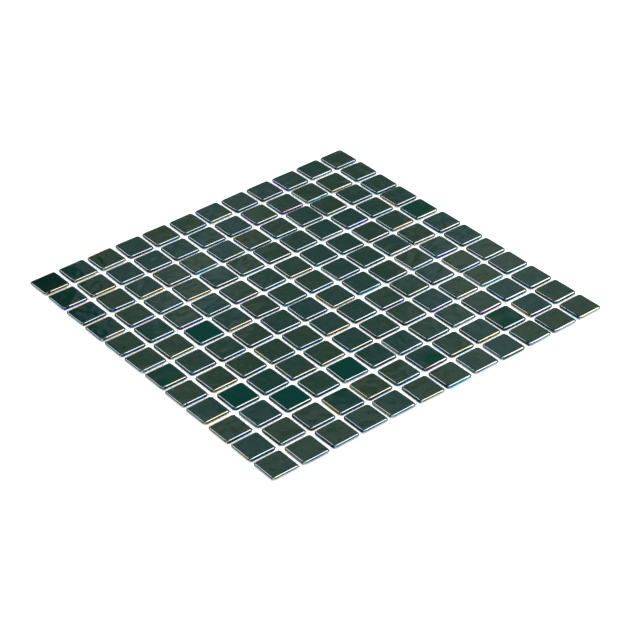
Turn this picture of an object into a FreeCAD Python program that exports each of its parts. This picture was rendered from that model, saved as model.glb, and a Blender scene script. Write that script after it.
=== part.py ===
import FreeCAD, Part
import Sketcher

import os
import random

# A mosaic sheet of square glass tiles, laid face up on an open mesh of glass-fibre threads.
# Millimetres, +Z up. The origin is under the middle of the sheet, on the surface it lies on.
# X runs along a row of tiles and Y from row to row.

document = FreeCAD.newDocument("mosaic_tile_sheet")

# Driving sizes
sizes = document.addObject("Spreadsheet::Sheet", "sizes")
driving_sizes = [
    ("tiles_per_side", "12"),
    ("tile_width", "25"),
    ("joint_width", "2.75"),
    ("tile_thickness", "4"),
    ("edge_radius", "1.4"),
    ("rim_height", "0.9"),
    ("back_inset", "2"),
    ("corner_cut", "1.9"),
    ("place_spread", "0.3"),
    ("turn_spread", "0.7"),
    ("spread_limit", "2"),
    ("thread_spacing", "5.55"),
    ("thread_width", "0.9"),
    ("thread_thickness", "0.25"),
    ("mesh_margin", "0.8"),
]
for line, (alias, value) in enumerate(driving_sizes, start=1):
    sizes.set(f"A{line}", alias)
    sizes.set(f"B{line}", value)
    sizes.setAlias(f"B{line}", alias)
document.recompute()


def draw_outline(sketch, points):
    """Draw a closed outline of straight edges, each joined to the next."""
    count = len(points)
    for index in range(count):
        start = FreeCAD.Vector(*points[index], 0)
        end = FreeCAD.Vector(*points[(index + 1) % count], 0)
        sketch.addGeometry(Part.LineSegment(start, end))
    for index in range(count):
        sketch.addConstraint(Sketcher.Constraint("Coincident", index, 2, (index + 1) % count, 1))


def set_distance(sketch, direction, edge, size, rule):
    """Bind how far the start of an edge lies from the origin, along DistanceX or DistanceY."""
    place = sketch.addConstraint(Sketcher.Constraint(direction, -1, 1, edge, 1, size))
    sketch.setExpression(f"Constraints[{place}]", rule)


# One tile, with the middle of its back at the origin
# Its profile leans out from a smaller back to an upright rim, and its rounded top edge is a few flat
# bevels whose corners lie on an arc. The same profile is carried straight through the tile in four
# directions, from side to side and from corner to corner, and the tile is what the four bars share.

ROUNDING_BEVELS = 3

# The corners of the profile, from the back up: how far each lies inside the rim, and its height
profile_corners = [
    ("sizes.back_inset * 1 mm", "0 mm"),
    ("0 mm", "(sizes.tile_thickness - sizes.edge_radius - sizes.rim_height) * 1 mm"),
]
for bevel in range(ROUNDING_BEVELS + 1):
    angle = 90 * bevel / ROUNDING_BEVELS
    profile_corners.append((
        f"sizes.edge_radius * (1 - cos({angle} deg)) * 1 mm",
        f"(sizes.tile_thickness - sizes.edge_radius * (1 - sin({angle} deg))) * 1 mm",
    ))

# A clipped corner of the rim has two legs of the corner cut, along the two sides
half_across_sides = "sizes.tile_width / 2 * 1 mm"
half_across_corners = "(sizes.tile_width - sizes.corner_cut) / sqrt(2) * 1 mm"


def tile_bar(direction, half_width):
    """The profile carried through the tile, with its normal at this angle from the Y axis."""
    sketch = document.addObject("Sketcher::SketchObject", f"tile_profile_{direction}")
    sketch.Placement.Rotation = FreeCAD.Rotation(direction, 0, 90)

    # A rough profile with steep sides, which the constraints then bring to size
    steps = len(profile_corners)
    right = [
        (sizes.tile_width / 2, sizes.tile_thickness * step / steps)
        for step in range(steps)
    ]
    left = [(-across, up) for across, up in reversed(right)]
    draw_outline(sketch, right + left)
    for step in range(steps):
        mirrored = 2 * steps - 1 - step
        sketch.addConstraint(Sketcher.Constraint("Symmetric", step, 1, mirrored, 1, -2))
    sketch.addConstraint(Sketcher.Constraint("PointOnObject", 0, 1, -1))
    for step, (inset, height) in enumerate(profile_corners):
        across, up = right[step]
        set_distance(sketch, "DistanceX", step, across, f"{half_width} - {inset}")
        if step > 0:
            set_distance(sketch, "DistanceY", step, up, height)

    bar = document.addObject("Part::Extrusion", f"tile_bar_{direction}")
    bar.Base = sketch
    bar.DirMode = "Normal"
    bar.Solid = True
    bar.Symmetric = True
    bar.setExpression("LengthFwd", "2 * sizes.tile_width * 1 mm")
    return bar


tile = document.addObject("Part::MultiCommon", "tile")
tile.Shapes = [
    tile_bar(0, half_across_sides),
    tile_bar(90, half_across_sides),
    tile_bar(45, half_across_corners),
    tile_bar(135, half_across_corners),
]
document.recompute()


# The backing mesh, whose flat threads lie in two layers that are bonded where they cross
# It is cut off just inside the backs of the outer tiles, and a thread lies on each centre line.

mesh_side = (
    "((sizes.tiles_per_side - 1) * (sizes.tile_width + sizes.joint_width)"
    " + sizes.tile_width - 2 * sizes.back_inset - 2 * sizes.mesh_margin)"
)
threads_beside_middle = f"floor(({mesh_side} - sizes.thread_width) / 2 / sizes.thread_spacing)"


def origin_item(body, role):
    """The body's own origin plane or axis that has this role."""
    return next(item for item in body.Origin.OriginFeatures if item.Role == role)


def thread_layer(name):
    """A layer of threads along the body's X axis, from one side of the mesh to the other."""
    body = document.addObject("PartDesign::Body", name)
    sketch = body.newObject("Sketcher::SketchObject", f"{name}_outline")
    sketch.AttachmentSupport = [(origin_item(body, "XY_Plane"), "")]
    sketch.MapMode = "FlatFace"
    sketch.setExpression(
        "AttachmentOffset.Base.y", f"-{threads_beside_middle} * sizes.thread_spacing * 1 mm"
    )
    draw_outline(sketch, [(1, -1), (1, 1), (-1, 1), (-1, -1)])
    for corner in range(2):
        sketch.addConstraint(Sketcher.Constraint("Symmetric", corner, 1, corner + 2, 1, -1, 1))
    sketch.addConstraint(Sketcher.Constraint("Vertical", 0))
    sketch.addConstraint(Sketcher.Constraint("Horizontal", 1))
    set_distance(sketch, "DistanceX", 1, 1, f"{mesh_side} / 2 * 1 mm")
    set_distance(sketch, "DistanceY", 1, 1, "sizes.thread_width / 2 * 1 mm")
    thread = body.newObject("PartDesign::Pad", f"{name}_thread")
    thread.Profile = sketch
    thread.setExpression("Length", "sizes.thread_thickness * 1 mm")
    document.recompute()

    threads = body.newObject("PartDesign::LinearPattern", f"{name}_threads")
    threads.Originals = [thread]
    threads.Direction = (origin_item(body, "Y_Axis"), [""])
    threads.setExpression("Length", f"2 * {threads_beside_middle} * sizes.thread_spacing * 1 mm")
    threads.setExpression("Occurrences", f"2 * {threads_beside_middle} + 1")
    body.Tip = threads
    return body


lower_threads = thread_layer("mesh_threads_lower")
upper_threads = thread_layer("mesh_threads_upper")
upper_threads.Placement.Rotation = FreeCAD.Rotation(FreeCAD.Vector(0, 0, 1), 90)
upper_threads.setExpression("Placement.Base.z", "sizes.thread_thickness * 1 mm")
document.recompute()


# The rows of tiles, glued to the upper threads
# The tiles were set by hand, so each stands a little off its place and is turned by a little.

tile_count = int(round(sizes.tiles_per_side))
pitch = sizes.tile_width + sizes.joint_width
first_place = -(tile_count - 1) / 2 * pitch
hand = random.Random(7)


def slip(spread):
    """A small error of the hand that set the tiles, never more than the limit."""
    return spread * max(-sizes.spread_limit, min(sizes.spread_limit, hand.gauss(0, 1)))


def tile_row(row):
    """A row of separate tiles along X, as one object."""
    tiles = []
    for column in range(tile_count):
        along = first_place + column * pitch + slip(sizes.place_spread)
        place = FreeCAD.Vector(along, slip(sizes.place_spread), 0)
        turn = FreeCAD.Rotation(FreeCAD.Vector(0, 0, 1), slip(sizes.turn_spread))
        set_tile = tile.Shape.Solids[0].copy()
        set_tile.Placement = FreeCAD.Placement(place, turn)
        tiles.append(set_tile)
    feature = document.addObject("Part::Feature", f"tile_row_{row + 1:02d}")
    feature.Shape = Part.makeCompound(tiles)
    across = first_place + row * pitch
    feature.Placement.Base = FreeCAD.Vector(0, across, 2 * sizes.thread_thickness)
    return feature


nodes = [lower_threads, upper_threads]
nodes += [tile_row(row) for row in range(tile_count)]
document.recompute()


# Check the document, then write one file for each node

for item in document.Objects:
    if "Invalid" in item.State or "Error" in item.State:
        raise RuntimeError(f"{item.Name} did not build: {item.State}")
for node in nodes:
    if node.Shape.isNull() or not node.Shape.isValid():
        raise RuntimeError(f"{node.Label} has no valid shape")

os.makedirs("parts", exist_ok=True)
for node in nodes:
    node.Shape.exportStep(f"parts/{node.Label}.step")
    print(f"{node.Label}: {len(node.Shape.Solids)} solids, {node.Shape.Volume:.1f} mm3")
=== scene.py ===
import math

import bpy
import numpy as np
from mathutils import Euler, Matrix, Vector


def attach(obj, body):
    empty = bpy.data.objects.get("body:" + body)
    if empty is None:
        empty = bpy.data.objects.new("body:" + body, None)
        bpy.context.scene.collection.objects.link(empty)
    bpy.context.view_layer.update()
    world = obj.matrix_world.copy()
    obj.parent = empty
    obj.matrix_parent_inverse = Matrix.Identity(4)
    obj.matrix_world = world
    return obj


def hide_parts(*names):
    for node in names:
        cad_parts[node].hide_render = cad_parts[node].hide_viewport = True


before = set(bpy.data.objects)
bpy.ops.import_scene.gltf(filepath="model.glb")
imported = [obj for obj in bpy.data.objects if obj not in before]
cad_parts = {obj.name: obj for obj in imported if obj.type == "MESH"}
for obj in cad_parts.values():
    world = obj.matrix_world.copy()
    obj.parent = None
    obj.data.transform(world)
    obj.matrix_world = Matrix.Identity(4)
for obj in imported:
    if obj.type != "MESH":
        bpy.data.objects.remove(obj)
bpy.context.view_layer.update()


# How the sheet is seen
# A long lens looks down on the sheet over the corner between its -X and -Y sides. The camera is aimed
# at a point of the tile faces a little nearer to that corner than the middle, and leans slightly.

LENS_MM = 107.0
SENSOR_MM = 36.0
NEAREST_SEEN = 0.01
AIM = Vector((-0.0162, -0.0257, 0.0045))
VIEW_DISTANCE = 1.489
VIEW_AZIMUTH = math.radians(37.48)
VIEW_ELEVATION = math.radians(35.08)
VIEW_LEAN = math.radians(-1.77)

camera = bpy.data.objects.new("camera", bpy.data.cameras.new("camera"))
bpy.context.scene.collection.objects.link(camera)
camera.data.lens = LENS_MM
camera.data.sensor_width = SENSOR_MM
camera.data.clip_start = NEAREST_SEEN
turn = Euler((math.pi / 2 - VIEW_ELEVATION, 0, -VIEW_AZIMUTH)).to_matrix()
turn = turn @ Euler((0, 0, VIEW_LEAN)).to_matrix()
camera.rotation_euler = turn.to_euler()
camera.location = AIM + turn @ Vector((0, 0, VIEW_DISTANCE))
bpy.context.scene.camera = camera
bpy.context.scene.view_settings.view_transform = "Standard"


# The studio
# A white floor, and four soft boxes that hang over it. Glossy glass mirrors the room, so the room is
# dark apart from a dim grey wall beyond the sheet with a warm light past its end, low blue light on
# the viewer's left and right, and a grey fill behind the viewer.

# The floor glows for the camera and through the mesh. The glass mirrors its glow faintly in the shade
# of the joints, nearer to the middle than the open distances, and brightly from the open floor.
FLOOR_SIDE = 6.0
FLOOR_TOP = -0.0001
FLOOR_WHITE = (0.8, 0.8, 0.8, 1)
FLOOR_GLOW = 0.95
MIRRORED_JOINT = 0.5
MIRRORED_OPEN = 1.5
OPEN_DISTANCES = (0.163, 0.167)
MIRRORED_FRONT = (0.74, 0.90, 1.0, 1)
FRONT_PLACES = (-0.169, -0.165)

# The directions of the room are angles in radians from +X towards +Y, and its heights are sines of the
# angle above the floor. Two numbers are where a light starts and where it is full, and four numbers
# also say where it starts to fade and where it ends.
ROOM_DARK = 0.012
WALL_GREY = 0.091
WALL_END = math.radians(60.5)
WALL_ROUND = (-0.2, 0.1, WALL_END, WALL_END + 0.02)
WALL_FOOT = (0.05, 0.2)
WALL_HEAD = (0.42, 0.8)
FOOT_GAIN = 1.35
FOLDS = (0.35, 0.65)
FOLD_SHADE = 0.5
END_GAIN = 0.4
END_ROUND = (0.95, 1.02)
FILL_GREY = 0.6
FILL_SPREAD = (0.8, 0.98)
VIEWER_SIDE = (-0.5, -0.65, 0.57)
BLUE_RIGHT = 0.2
RIGHT_ROUND = (-1.7, -1.4, -0.5, -0.2)
BLUE_LEFT = 0.43
LEFT_ROUND = (1.75, 1.95, 2.7, 2.9)
BLUE_HEIGHTS = (0.02, 0.1, 0.6, 0.75)
WARM_LIGHT = 2.3
WARM_ROUND = (1.06, 1.12, 1.3, 1.4)
WARM_HEIGHTS = (0.08, 0.14, 0.44, 0.52)
GREY_SHADE = (0.96, 1.0, 0.97, 1)
BLUE_SHADE = (0.80, 0.95, 0.98, 1)
WARM_SHADE = (1.0, 0.62, 0.32, 1)

BOX_HEIGHT = 2.0


class Wire:
    """An output of a shader node, or an empty start. Arithmetic on it adds Math nodes to its tree."""

    def __init__(self, tree, socket=None):
        self.tree = tree
        self.socket = socket

    def node(self, kind, settings=None, sockets=None, out=0):
        """Add a node, set it up, fill its sockets with values or wires, and return one of its outputs."""
        made = self.tree.nodes.new(kind)
        for name, value in (settings or {}).items():
            setattr(made, name, value)
        for name, value in (sockets or {}).items():
            if isinstance(value, Wire):
                self.tree.links.new(value.socket, made.inputs[name])
            else:
                made.inputs[name].default_value = value
        return Wire(self.tree, made.outputs[out])

    def math(self, operation, *values):
        """One Math node that works on these numbers or wires."""
        return self.node("ShaderNodeMath", {"operation": operation}, dict(enumerate(values)))

    def __add__(self, other):
        return self.math("ADD", self, other)

    __radd__ = __add__

    def __sub__(self, other):
        return self.math("SUBTRACT", self, other)

    def __rsub__(self, other):
        return self.math("SUBTRACT", other, self)

    def __mul__(self, other):
        return self.math("MULTIPLY", self, other)

    __rmul__ = __mul__

    def rise(self, start, full):
        """From 0 at the start of a range to 1 where it is full, smoothly."""
        ends = {"Value": self, "From Min": start, "From Max": full}
        return self.node("ShaderNodeMapRange", {"interpolation_type": "SMOOTHSTEP"}, ends)

    def within(self, start, full, fade, end):
        """A rise from the start to where it is full, times 1 less a rise from the fade to the end."""
        return self.rise(start, full) * (1 - self.rise(fade, end))

    def between(self, low, high):
        """A colour from low, where this number is 0, to high, where it is 1."""
        return self.node("ShaderNodeMix", {"data_type": "RGBA"}, {0: self, 6: low, 7: high}, out=2)

    def axis(self, number):
        """One of the three parts of a vector."""
        return self.node("ShaderNodeSeparateXYZ", None, {0: self}, out=number)


def new_material(name):
    """An empty node material, as a starting wire, and its output node."""
    material = bpy.data.materials.new(name)
    material.use_nodes = True
    material.node_tree.nodes.clear()
    output = material.node_tree.nodes.new("ShaderNodeOutputMaterial")
    return material, Wire(material.node_tree), output


def white_floor():
    """Matt white, with a glow of its own for the camera, through the mesh and in what the glass mirrors.

    The mirrored glow is bright where the distance from the middle, which is the larger of the two along
    X and Y, is outside the sheet. In front of the -Y side it is also a little blue.
    """
    material, tree, output = new_material("white_floor")
    camera_ray = tree.node("ShaderNodeLightPath", out="Is Camera Ray")
    glossy_ray = tree.node("ShaderNodeLightPath", out="Is Glossy Ray")
    through_ray = tree.node("ShaderNodeLightPath", out="Is Transmission Ray")
    place = tree.node("ShaderNodeTexCoord", out=3)
    across, along = place.axis(0), place.axis(1)
    distance = tree.math("MAXIMUM", tree.math("ABSOLUTE", across), tree.math("ABSOLUTE", along))
    mirrored = MIRRORED_JOINT + (MIRRORED_OPEN - MIRRORED_JOINT) * distance.rise(*OPEN_DISTANCES)
    strength = FLOOR_GLOW * tree.math("MAXIMUM", camera_ray, through_ray) + mirrored * glossy_ray
    front = glossy_ray * (1 - along.rise(*FRONT_PLACES))
    tint = front.between((1, 1, 1, 1), MIRRORED_FRONT)
    matt = tree.node("ShaderNodeBsdfDiffuse", None, {"Color": FLOOR_WHITE})
    glow = tree.node("ShaderNodeEmission", None, {"Color": tint, "Strength": strength})
    shown = tree.node("ShaderNodeAddShader", None, {0: matt, 1: glow})
    tree.tree.links.new(shown.socket, output.inputs["Surface"])
    return material


def dim_room():
    """The light that comes from each direction of the room.

    The wall is brighter at its foot and at its left end, and has soft folds. The fill goes by how nearly
    a direction points at the viewer.
    """
    world = bpy.data.worlds.new("studio")
    world.use_nodes = True
    world.node_tree.nodes.clear()
    tree = Wire(world.node_tree)
    direction = tree.node("ShaderNodeTexCoord")
    height = direction.axis(2)
    around = tree.math("ARCTAN2", direction.axis(1), direction.axis(0))

    folds = tree.node("ShaderNodeTexNoise", None, {"Vector": direction, "Scale": 12.0, "Detail": 1.5})
    wall = around.within(*WALL_ROUND) * height.rise(*WALL_FOOT) * (FOOT_GAIN - height.rise(*WALL_HEAD))
    wall = wall * (FOLD_SHADE + folds.rise(*FOLDS)) * (1 + END_GAIN * around.rise(*END_ROUND))
    toward_viewer = {0: direction, 1: VIEWER_SIDE}
    facing = tree.node("ShaderNodeVectorMath", {"operation": "DOT_PRODUCT"}, toward_viewer, out=1)
    grey = wall * (WALL_GREY - ROOM_DARK) + FILL_GREY * facing.rise(*FILL_SPREAD) + ROOM_DARK

    low = height.within(*BLUE_HEIGHTS)
    right = around.within(*RIGHT_ROUND) * low
    left = around.within(*LEFT_ROUND) * low
    warm = around.within(*WARM_ROUND) * height.within(*WARM_HEIGHTS)
    shade = warm.between((right + left).between(GREY_SHADE, BLUE_SHADE), WARM_SHADE)
    strength = grey + BLUE_RIGHT * right + BLUE_LEFT * left + WARM_LIGHT * warm
    light = tree.node("ShaderNodeBackground", None, {"Color": shade, "Strength": strength})
    output = world.node_tree.nodes.new("ShaderNodeOutputWorld")
    world.node_tree.links.new(light.socket, output.inputs["Surface"])
    return world


def soft_box(name, x, y, width, depth, radiance, swing=0):
    """A soft box that faces down and is turned by its swing, in degrees.

    Its power is its radiance times pi times its area.
    """
    data = bpy.data.lights.new(name, "AREA")
    data.shape = "RECTANGLE"
    data.size = width
    data.size_y = depth
    data.energy = radiance * math.pi * width * depth
    box = bpy.data.objects.new(name, data)
    box.location = (x, y, BOX_HEIGHT)
    box.rotation_euler = (0, 0, math.radians(swing))
    bpy.context.scene.collection.objects.link(box)


half = FLOOR_SIDE / 2
floor_mesh = bpy.data.meshes.new("floor")
floor_mesh.from_pydata(
    [(x, y, FLOOR_TOP) for x, y in ((-half, -half), (half, -half), (half, half), (-half, half))],
    [], [(0, 1, 2, 3)],
)
floor = bpy.data.objects.new("floor", floor_mesh)
bpy.context.scene.collection.objects.link(floor)
floor_mesh.materials.append(white_floor())
bpy.context.scene.world = dim_room()
soft_box("right_box", x=1.25, y=-0.08, width=1.25, depth=1.2, radiance=3.6)
soft_box("left_box", x=-0.25, y=1.9, width=0.54, depth=1.7, radiance=2.3, swing=26)
soft_box("side_box", x=2.1, y=-0.65, width=1.2, depth=1.2, radiance=5.0)
soft_box("top_box", x=-0.5, y=-0.8, width=1.9, depth=1.9, radiance=1.2)


# The glass tiles
# Each tile is one pressed piece of coloured glass: a profile carried round a square outline with rounded
# corners. It leans out from a smaller back to an upright rim, and a rounded edge runs into the face. The
# hot tile is sprayed with a metal oxide, which leaves a film so thin that it colours what it mirrors.

TILES_PER_SIDE = 12
TILE_WIDTH = 0.025
TILE_PITCH = 0.02775
TILE_BOTTOM = 0.0005
TILE_TOP = 0.0045
EDGE_DROP = 0.0014
EDGE_REACH = 0.0019
RIM_HEIGHT = 0.0009
BACK_INSET = 0.0020
CORNER_RADIUS = 0.0032
LEAST_CORNER_RADIUS = 0.0004
CORNER_STEPS = 6
SIDE_STEPS = 3
ROUND_STEPS = 6
FACE_MARGIN = 0.0006
FACE_SLACK = 0.00001
OUTLINE_SLACK = 0.00006

# The finishes of a tile, in the order in which they are listed for it: its back, its four upper edges from
# +X by +Y and -X to -Y, its face, and the four sides below those edges. The bands from the leaning side up
# to the middle of the rounded edge take the side's finish, and the lowest of them its form on the rim.
PARTS_PER_TILE = 10
FIRST_EDGE = 1
LEFT_EDGE = 3
NEAR_EDGE = 4
FACE = 5
FIRST_SIDE = 6
LEFT_SIDE = 8
NEAR_SIDE = 9
SIDE_BANDS = 5
RIM_BANDS = 2

# Each finish has the thickness of its film in nanometres where it is thin and where it is thick, the
# film's refractive index, and the body colour of the glass under it at its two extremes.
FINISHES = {
    "slate": (34, 42, 2.6, (0.000, 0.062, 0.053, 1), (0.002, 0.062, 0.041, 1)),
    "clear": (44, 54, 2.6, (0.000, 0.064, 0.047, 1), (0.004, 0.060, 0.031, 1)),
    "olive": (50, 62, 2.6, (0.001, 0.062, 0.039, 1), (0.004, 0.058, 0.027, 1)),
    "straw": (48, 64, 2.6, (0.000, 0.062, 0.042, 1), (0.004, 0.056, 0.026, 1)),
    "gold": (52, 67, 2.6, (0.002, 0.060, 0.040, 1), (0.006, 0.058, 0.024, 1)),
    "rose": (48, 96, 2.6, (0.002, 0.052, 0.040, 1), (0.006, 0.052, 0.034, 1)),
    "sky": (26, 36, 2.6, (0.000, 0.058, 0.052, 1), (0.002, 0.062, 0.050, 1)),
    "teal": (1, 6, 2.6, (0.000, 0.058, 0.047, 1), (0.000, 0.062, 0.047, 1)),
    "patchy": (4, 28, 2.6, (0.000, 0.060, 0.042, 1), (0.006, 0.062, 0.036, 1)),
    "dark": (16, 30, 2.6, (0.003, 0.030, 0.024, 1), (0.006, 0.034, 0.025, 1)),
    # The darker bodies of dim, navy, ocean, brown and plum are painted shade of the sides in the joints
    # between the tiles
    "dim": (8, 20, 2.6, (0.000, 0.034, 0.036, 1), (0.000, 0.038, 0.032, 1)),
    "navy": (12, 156, 2.0, (0.000, 0.028, 0.042, 1), (0.002, 0.034, 0.036, 1)),
    "ocean": (12, 152, 2.3, (0.000, 0.044, 0.044, 1), (0.000, 0.050, 0.040, 1)),
    "brown": (66, 92, 2.3, (0.004, 0.040, 0.024, 1), (0.010, 0.038, 0.018, 1)),
    "plum": (106, 114, 2.6, (0.004, 0.030, 0.034, 1), (0.008, 0.032, 0.030, 1)),
    "azure": (134, 146, 2.6, (0.000, 0.040, 0.052, 1), (0.002, 0.044, 0.050, 1)),
    "haze": (26, 34, 2.6, (0.000, 0.058, 0.066, 1), (0.000, 0.062, 0.064, 1)),
    "bare": (6, 12, 2.6, (0.000, 0.058, 0.046, 1), (0.002, 0.060, 0.040, 1)),
}
FINISH_NAMES = list(FINISHES) + ["back"]

# The film thickens or thins from an upper edge to the side below it, and again on the rim. The finishes
# below the edges also have a darker body, which is painted shade of the joints between the tiles; the rim
# takes less of it.
SHADED_UNDER_EDGE = {
    "slate": "dim", "clear": "dim", "straw": "dim", "gold": "brown", "rose": "plum", "sky": "dim",
}
ON_RIM = {"dim": "ocean", "navy": "ocean", "brown": "gold"}

# Most finishes are drawn at random by these shares, and some of the sides are odd ones
chance = np.random.default_rng(12)
EDGE_SHARES = {"slate": 0.57, "clear": 0.29, "straw": 0.07, "gold": 0.01, "sky": 0.06}
FACE_SHARES = {"slate": 0.25, "clear": 0.55, "olive": 0.20}
ODD_SIDES = 0.3
# An odd side is mostly navy or plum, whose darker body is painted shade, and otherwise slate
ODD_SHARES = {"navy": 0.67, "slate": 0.3, "plum": 0.03}

# Notable tiles, as (row, column) from the corner between -X and -Y, the row along Y and the column along X
FACES = {
    "dark": [(11, 0)],
    "teal": [(6, 2), (3, 1), (2, 2), (2, 4)],
    "patchy": [(3, 2), (1, 3), (1, 9), (1, 6), (5, 0), (7, 1), (7, 11)],
    "slate": [
        (11, 1), (11, 3), (11, 6), (11, 8), (11, 10), (10, 0), (10, 3), (10, 4), (10, 6), (9, 2), (9, 5),
        (9, 8), (8, 0), (8, 4), (8, 9), (7, 3), (7, 7), (6, 3), (6, 7), (5, 5), (5, 10), (4, 5), (4, 9),
        (3, 5), (2, 10), (0, 8),
    ],
    "olive": [
        (11, 4), (11, 5), (9, 7), (9, 9), (8, 1), (8, 6), (7, 0), (7, 9), (6, 0), (6, 4), (6, 10), (4, 1),
        (4, 4), (3, 7), (0, 9), (0, 11),
    ],
}
NEAR_EDGES = {
    "gold": [
        (11, 0), (11, 1), (11, 6), (10, 1), (10, 10), (9, 2), (9, 5), (8, 3), (7, 4), (7, 6), (7, 10),
        (7, 11), (6, 1), (6, 3), (6, 10), (5, 6), (4, 1), (4, 5), (3, 0), (3, 4), (1, 4), (1, 7), (1, 8),
    ],
    "straw": [
        (11, 2), (10, 7), (9, 9), (8, 0), (8, 4), (7, 9), (4, 8), (3, 5), (0, 0), (0, 5), (0, 11),
    ],
    "rose": [(10, 8), (2, 9), (1, 6)],
    "sky": [(10, 6), (10, 9), (9, 4), (5, 7), (4, 4), (3, 10)],
}
LEFT_EDGES = {
    "gold": [(9, 6), (6, 8), (5, 6), (4, 3), (4, 10), (1, 3), (1, 4), (0, 1)],
    "straw": [
        (11, 3), (9, 3), (8, 8), (8, 1), (7, 3), (7, 6), (6, 1), (5, 3), (4, 8), (3, 3), (3, 7), (2, 0),
        (1, 0), (1, 1), (0, 4),
    ],
    "sky": [(10, 7), (9, 5), (8, 4), (7, 0), (6, 2), (5, 8), (3, 5), (3, 10), (2, 11), (1, 6)],
}
# The plum sides carry painted shade in their darker body; the azure ones differ only by a thick film
NEAR_SIDES = {
    "plum": [(10, 0), (8, 1), (8, 9), (7, 2), (5, 10), (4, 7), (3, 8), (1, 10)],
    "azure": [(10, 9), (9, 4), (5, 7), (3, 10)],
}
FRONT_ROW_SIDES = [
    "straw", "haze", "haze", "haze", "haze", "straw", "azure", "slate", "bare", "haze", "haze", "straw",
]
LEFT_COLUMN_SIDES = [
    "slate", "straw", "straw", "sky", "straw", "clear", "slate", "sky", "slate", "clear", "slate", "slate",
]

# The batch number of a tile, from 0 to 1, moves it to another place in the noise that its glass follows,
# and has its share in the body colour. A range is where a look starts in its noise and where it is full.
BATCH_JUMP = 40.0
BATCH_SHARE = 0.6
DRIFT_SHARE = 1.6
BODY_RANGE = (0.6, 1.6)
PATCH_RANGE = (0.4, 0.58)
SMUDGE_RANGE = (0.45, 0.8)
CLEAN_ROUGHNESS = 0.045
SMUDGE_ROUGHNESS = 0.04
GLASS_INDEX = 1.5
WAVE_HEIGHT = 0.0003
RIPPLE_SHARE = 0.06
DENT_SHARE = 0.12
DENTS_PER_METRE = 62.0
DENTED = (0.72, 0.73)
DENT_RADII = (0.01, 0.09)
BACK_DEEP = (0.006, 0.040, 0.030, 1)
BACK_PALE = (0.020, 0.075, 0.060, 1)


def rounded_square(inset):
    """Points round a square whose corners are arcs, with its sides moved in by the inset.

    A corner is an arc of CORNER_STEPS steps, whose radius shrinks by the inset down to the least one,
    about a centre one radius in from both sides. Each side is divided into SIDE_STEPS equal runs.
    """
    radius = max(CORNER_RADIUS - inset, LEAST_CORNER_RADIUS)
    reach = TILE_WIDTH / 2 - inset - radius
    turns = np.linspace(0, math.pi / 2, CORNER_STEPS + 1)
    runs = np.linspace(-1, 1, SIDE_STEPS + 1)[1:-1] * reach
    side = np.stack([np.full_like(runs, TILE_WIDTH / 2 - inset), runs], axis=1)
    arc = reach + radius * np.stack([np.cos(turns), np.sin(turns)], axis=1)
    quarter = np.concatenate([side, arc])
    swings = np.arange(4) * math.pi / 2
    cos, sin = np.cos(swings), np.sin(swings)
    turned = np.stack([
        np.outer(cos, quarter[:, 0]) - np.outer(sin, quarter[:, 1]),
        np.outer(sin, quarter[:, 0]) + np.outer(cos, quarter[:, 1]),
    ], axis=-1)
    return turned.reshape(-1, 2)


def run_sides():
    """The side that each run of the outline belongs to; a corner is shared between its two sides."""
    count = SIDE_STEPS - 1 + CORNER_STEPS + 1
    own = np.arange(count) < SIDE_STEPS - 1 + CORNER_STEPS // 2
    return np.concatenate([np.where(own, side, (side + 1) % 4) for side in range(4)])


def tile_rings():
    """The inset and height of each ring of the tile, from the edge of its back to inside its face.

    The rounded edge is a quarter of an ellipse that reaches further in than down.
    """
    bend = np.linspace(0, math.pi / 2, ROUND_STEPS + 1)
    insets = np.concatenate([
        [BACK_INSET, 0], EDGE_REACH * (1 - np.cos(bend)), [EDGE_REACH + FACE_MARGIN]
    ])
    heights = np.concatenate([
        [TILE_BOTTOM, TILE_TOP - EDGE_DROP - RIM_HEIGHT],
        TILE_TOP - EDGE_DROP * (1 - np.sin(bend)),
        [TILE_TOP],
    ])
    return insets, heights


def tile_places(node):
    """The middle and the turn of each tile in a CAD row, read from the corners of its face.

    A corner of the face lies within FACE_SLACK of the top. The directions from the middle to the corners,
    as complex numbers to the fourth power, have a mean that points to -1 where the tile isn't turned. The
    turn is a quarter of the mean's angle from there.
    """
    points = np.empty(len(node.data.vertices) * 3)
    node.data.vertices.foreach_get("co", points)
    points = np.unique(points.reshape(-1, 3).round(6), axis=0)
    face = points[points[:, 2] > TILE_TOP - FACE_SLACK, :2]
    column = np.round(face[:, 0] / TILE_PITCH + (TILES_PER_SIDE - 1) / 2).astype(int)
    places = []
    for index in range(TILES_PER_SIDE):
        corners = face[column == index]
        middle = corners.mean(axis=0)
        around = (corners - middle) @ np.array([1, 1j])
        places.append((*middle, np.angle(-np.mean((around / abs(around)) ** 4)) / 4))
    return np.array(places)


def drawn(shares, count):
    """This many finishes, drawn by their shares."""
    return chance.choice(list(shares), count, p=list(shares.values()))


def set_notable(names, row, part, chosen):
    """Give this part of the notable tiles in the row their own finish."""
    for finish, tiles in chosen.items():
        names[[column for where, column in tiles if where == row], part] = finish


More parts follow.
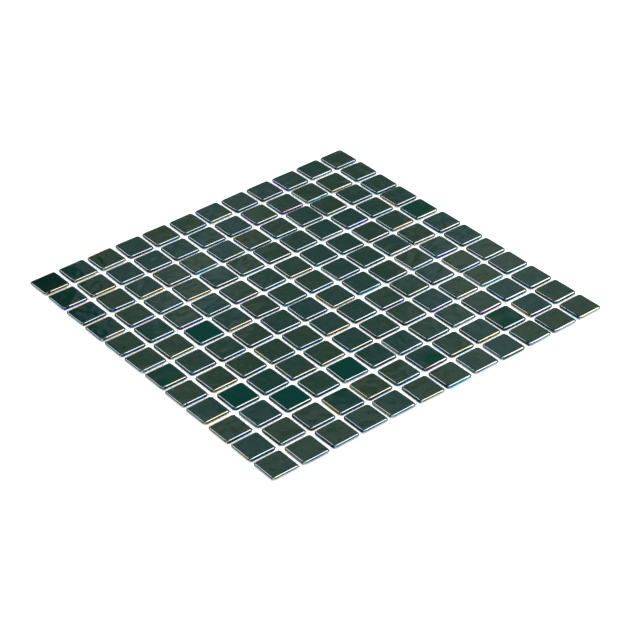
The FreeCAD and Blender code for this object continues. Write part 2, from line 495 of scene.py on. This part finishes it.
def row_finishes(row):
    """The number of the finish of each part of the tiles in a row, notable ones in place of drawn ones.

    A side has the finish that goes under its upper edge, unless it is an odd or a notable one.
    """
    names = np.full((TILES_PER_SIDE, PARTS_PER_TILE), "back", dtype="U8")
    names[:, FIRST_EDGE:FACE] = drawn(EDGE_SHARES, (TILES_PER_SIDE, 4))
    names[:, FACE] = drawn(FACE_SHARES, TILES_PER_SIDE)
    set_notable(names, row, LEFT_EDGE, LEFT_EDGES)
    set_notable(names, row, NEAR_EDGE, NEAR_EDGES)
    set_notable(names, row, FACE, FACES)
    # Sides under the edges take darker finishes, painted shade of the joints; the outer sides of the left
    # column and the front row are set to pale ones below
    names[:, FIRST_SIDE:] = np.vectorize(SHADED_UNDER_EDGE.get)(names[:, FIRST_EDGE:FACE])
    odd = chance.uniform(0, 1, (TILES_PER_SIDE, 4)) < ODD_SIDES
    names[:, FIRST_SIDE:][odd] = drawn(ODD_SHARES, odd.sum())
    names[0, LEFT_SIDE] = LEFT_COLUMN_SIDES[row]
    set_notable(names, row, NEAR_SIDE, NEAR_SIDES)
    if row == 0:
        names[:, NEAR_SIDE] = FRONT_ROW_SIDES
    return np.vectorize(FINISH_NAMES.index)(names)


def row_of_tiles(name, places, finishes):
    """One mesh with a tile at each place: the same rings, each drawn in a little, turned and moved.

    The finishes are one number for each part of each tile. Two waves round the outline, of two and of
    three crests, draw each tile in by up to OUTLINE_SLACK, so that no two outlines are quite alike.
    """
    insets, heights = tile_rings()
    rings = np.stack([rounded_square(inset) for inset in insets])
    ring_count, around, _ = rings.shape
    tiles = len(places)

    angle = np.arctan2(rings[0, :, 1], rings[0, :, 0])
    waves = chance.uniform(0, 2 * math.pi, (2, tiles, 1))
    wave = 2 + np.cos(2 * angle + waves[0]) + np.cos(3 * angle + waves[1])
    shrink = 1 - OUTLINE_SLACK * wave / (2 * TILE_WIDTH)
    flat = rings[None] * shrink[:, None, :, None]
    cos, sin = np.cos(places[:, 2]), np.sin(places[:, 2])
    swings = np.stack([np.stack([cos, -sin], axis=1), np.stack([sin, cos], axis=1)], axis=1)
    flat = np.einsum("tij,trpj->trpi", swings, flat) + places[:, None, None, :2]
    upright = np.broadcast_to(heights[None, :, None, None], (tiles, ring_count, around, 1))
    vertices = np.concatenate([flat, upright], axis=3).reshape(-1, 3)

    first = (np.arange(tiles) * ring_count * around)[:, None, None]
    ring = (np.arange(ring_count - 1) * around)[None, :, None]
    step = np.arange(around)[None, None, :]
    after = (step + 1) % around
    quads = np.stack([
        first + ring + step, first + ring + after,
        first + ring + around + after, first + ring + around + step,
    ], axis=-1)
    backs = first[:, 0] + np.arange(around)[::-1]
    faces = first[:, 0] + (ring_count - 1) * around + np.arange(around)
    mesh = bpy.data.meshes.new(name)
    mesh.from_pydata(
        vertices.tolist(), [], quads.reshape(-1, 4).tolist() + backs.tolist() + faces.tolist()
    )
    edges = np.take(finishes, FIRST_EDGE + run_sides(), axis=1)
    sides = np.take(finishes, FIRST_SIDE + run_sides(), axis=1)
    rims = np.array([FINISH_NAMES.index(ON_RIM.get(finish, finish)) for finish in FINISH_NAMES])
    bands = np.broadcast_to(edges[:, None, :], (tiles, ring_count - 1, around)).copy()
    # The sides' finishes, with their painted shade, reach up to the middle of the rounded edge
    bands[:, :SIDE_BANDS, :] = sides[:, None, :]
    bands[:, :RIM_BANDS, :] = rims[sides][:, None, :]
    bands[:, -1, :] = finishes[:, FACE:FACE + 1]
    slots = np.concatenate([bands.ravel(), finishes[:, 0], finishes[:, FACE]])
    mesh.polygons.foreach_set("material_index", slots.astype(np.int32))
    # The leaning sides and the backs are flat, with a crisp edge along the rim
    smooth = np.ones((tiles, ring_count - 1, around), bool)
    smooth[:, 0, :] = False
    mesh.polygons.foreach_set(
        "use_smooth", np.concatenate([smooth.ravel(), np.zeros(tiles, bool), np.ones(tiles, bool)])
    )
    batch = np.repeat(chance.uniform(0, 1, tiles), ring_count * around)
    mesh.attributes.new("batch", "FLOAT", "POINT").data.foreach_set("value", batch.astype(np.float32))
    return bpy.data.objects.new(name, mesh)


def film_glass(name, thin, thick, index, deep, pale):
    """Dark glass under a film that is thin in some patches and thick in others.

    The body colour goes by batch and drifts a little, and the face is faintly smudged. Its height is
    that of long waves, faint ripples and, on many tiles, a small round dent.
    """
    material, tree, output = new_material(name)
    place = tree.node("ShaderNodeTexCoord", out=3)
    batch = tree.node("ShaderNodeAttribute", {"attribute_name": "batch"}, out=2)

    def clouds(scale, detail, distortion=0.0):
        """Soft noise that starts afresh on each tile."""
        sockets = {"Vector": place, "W": BATCH_JUMP * batch, "Scale": scale, "Detail": detail}
        sockets["Distortion"] = distortion
        return tree.node("ShaderNodeTexNoise", {"noise_dimensions": "4D"}, sockets)

    def dent_cells(out):
        """Cells round scattered points: the distance to the point, or a random colour for the cell."""
        cells = {"Vector": place, "Scale": DENTS_PER_METRE}
        return tree.node("ShaderNodeTexVoronoi", {"voronoi_dimensions": "2D"}, cells, out=out)

    def glass(thickness):
        """The glass where the film has this thickness."""
        return tree.node("ShaderNodeBsdfPrincipled", None, {
            "Base Color": colour,
            "Roughness": CLEAN_ROUGHNESS + SMUDGE_ROUGHNESS * smudge,
            "IOR": GLASS_INDEX,
            "Thin Film Thickness": thickness,
            "Thin Film IOR": index,
            "Normal": bump,
        })

    drift = clouds(scale=55.0, detail=2.0)
    colour = (BATCH_SHARE * batch + DRIFT_SHARE * drift).rise(*BODY_RANGE).between(deep, pale)
    smudge = clouds(scale=160.0, detail=2.0).rise(*SMUDGE_RANGE)
    dent = dent_cells("Color").axis(0).rise(*DENTED) * (1 - dent_cells("Distance").rise(*DENT_RADII))
    waves = clouds(scale=60.0, detail=1.0, distortion=0.8)
    height = waves + RIPPLE_SHARE * clouds(scale=300.0, detail=1.0) - DENT_SHARE * dent
    bump = tree.node("ShaderNodeBump", None, {"Strength": 1.0, "Distance": WAVE_HEIGHT, "Height": height})
    patches = clouds(scale=50.0, detail=1.0).rise(*PATCH_RANGE)
    filmed = tree.node("ShaderNodeMixShader", None, {0: patches, 1: glass(thin), 2: glass(thick)})
    tree.tree.links.new(filmed.socket, output.inputs["Surface"])
    return material


def pressed_back():
    """The matt, sanded back of the tile."""
    material, tree, output = new_material("tile_back")
    place = tree.node("ShaderNodeTexCoord", out=3)
    grain = tree.node("ShaderNodeTexNoise", None, {"Vector": place, "Scale": 900.0, "Detail": 4.0})
    bump = tree.node("ShaderNodeBump", None, {"Strength": 0.6, "Distance": 0.0002, "Height": grain})
    matt = tree.node("ShaderNodeBsdfPrincipled", None, {
        "Base Color": grain.between(BACK_DEEP, BACK_PALE),
        "Roughness": 0.45 + 0.3 * grain,
        "Normal": bump,
    })
    tree.tree.links.new(matt.socket, output.inputs["Surface"])
    return material


tile_materials = [film_glass(f"glass_{name}", *FINISHES[name]) for name in FINISHES]
tile_materials.append(pressed_back())

for row in range(TILES_PER_SIDE):
    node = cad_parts[f"tile_row_{row + 1:02d}"]
    finishes = row_finishes(row)
    tiles = row_of_tiles(f"glass_tiles_{row + 1:02d}", tile_places(node), finishes)
    bpy.context.scene.collection.objects.link(tiles)
    for material in tile_materials:
        tiles.data.materials.append(material)
    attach(tiles, "root")
    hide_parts(node.name)


# The backing mesh
# Flat yarns of white glass fibre in two layers, one along X and one along Y, dipped in a binder that
# stiffens them and bonds them where they cross.

FIBRE_DULL = (0.82, 0.82, 0.80, 1)
FIBRE_BRIGHT = (0.94, 0.94, 0.93, 1)


def glass_fibre():
    """White fibre in a binder, which lets most of the light through and has a fine fuzz."""
    material, tree, output = new_material("mesh_fibre")
    place = tree.node("ShaderNodeTexCoord", out=3)
    fuzz = tree.node("ShaderNodeTexNoise", None, {"Vector": place, "Scale": 1500.0, "Detail": 3.0})
    bump = tree.node("ShaderNodeBump", None, {"Strength": 0.5, "Distance": 0.0002, "Height": fuzz})
    cloth = tree.node("ShaderNodeBsdfPrincipled", None, {
        "Base Color": fuzz.between(FIBRE_DULL, FIBRE_BRIGHT),
        "Roughness": 0.35,
        "IOR": 1.1,
        "Transmission Weight": 0.75,
        "Normal": bump,
    })
    tree.tree.links.new(cloth.socket, output.inputs["Surface"])
    return material


fibre = glass_fibre()
for name in ("mesh_threads_lower", "mesh_threads_upper"):
    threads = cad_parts[name]
    threads.data.materials.clear()
    threads.data.materials.append(fibre)
